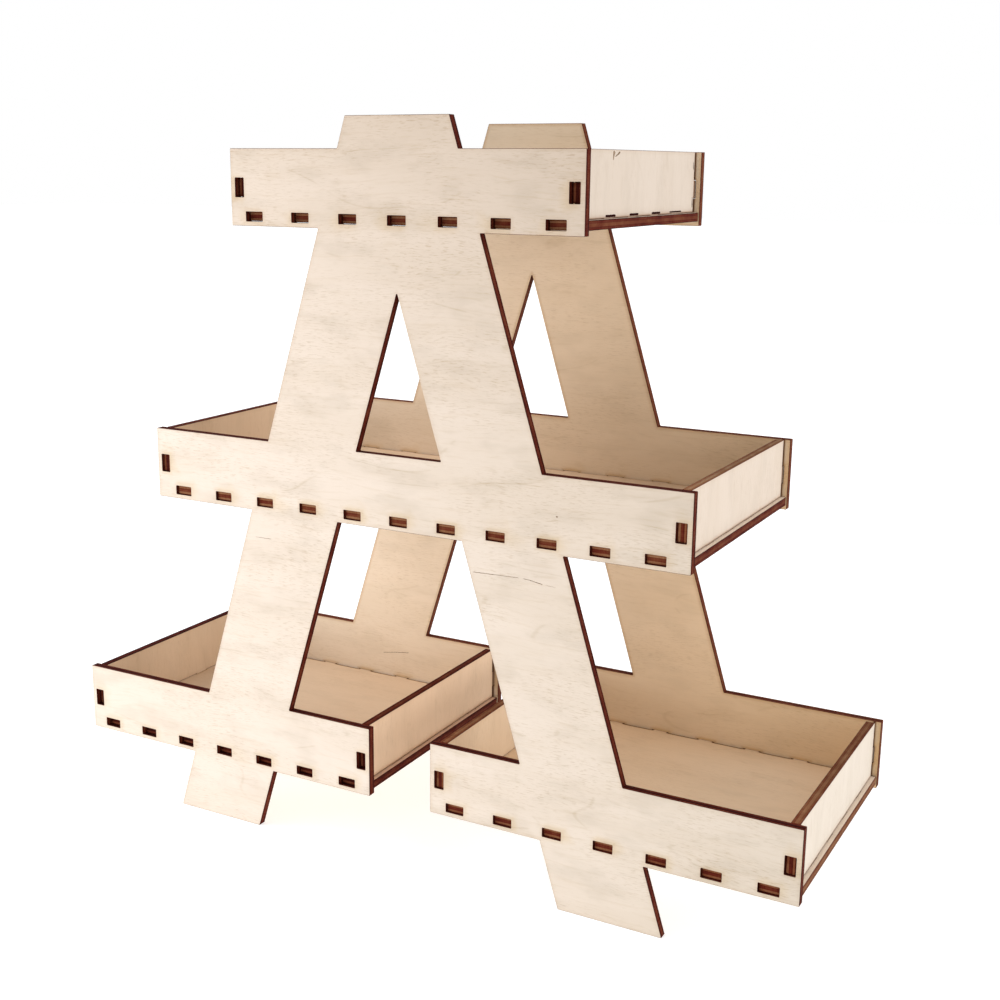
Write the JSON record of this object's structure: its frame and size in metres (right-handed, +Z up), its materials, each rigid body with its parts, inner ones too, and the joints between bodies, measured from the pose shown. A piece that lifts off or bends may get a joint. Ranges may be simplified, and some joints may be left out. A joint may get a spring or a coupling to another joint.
{
  "type": "paint rack organizer",
  "caption": "Free-standing plywood rack with A-shaped front and back panels that carry stepped open trays for paint bottles, slotted together with tabs.",
  "frame": {"origin": "middle of the rack's footprint, on the surface that its feet stand on", "axes": "+X along the rack, to the right seen from the front; +Y from the front panel to the back panel; +Z up"},
  "size_m": [0.28, 0.098, 0.252],
  "materials": {
    "panel_ply": "unfinished birch veneer, laser-charred edges",
    "tray_ply": "unfinished birch veneer, laser-charred edges"
  },
  "bodies": {
    "root": {"front_frame": "panel_ply", "back_frame": "panel_ply", "top_tray_floor": "tray_ply", "top_tray_left_end": "tray_ply", "top_tray_right_end": "tray_ply", "middle_tray_floor": "tray_ply", "middle_tray_left_end": "tray_ply", "middle_tray_right_end": "tray_ply", "lower_left_tray_floor": "tray_ply", "lower_left_tray_left_end": "tray_ply", "lower_left_tray_right_end": "tray_ply", "lower_right_tray_floor": "tray_ply", "lower_right_tray_left_end": "tray_ply", "lower_right_tray_right_end": "tray_ply"}
  },
  "joints": []
}
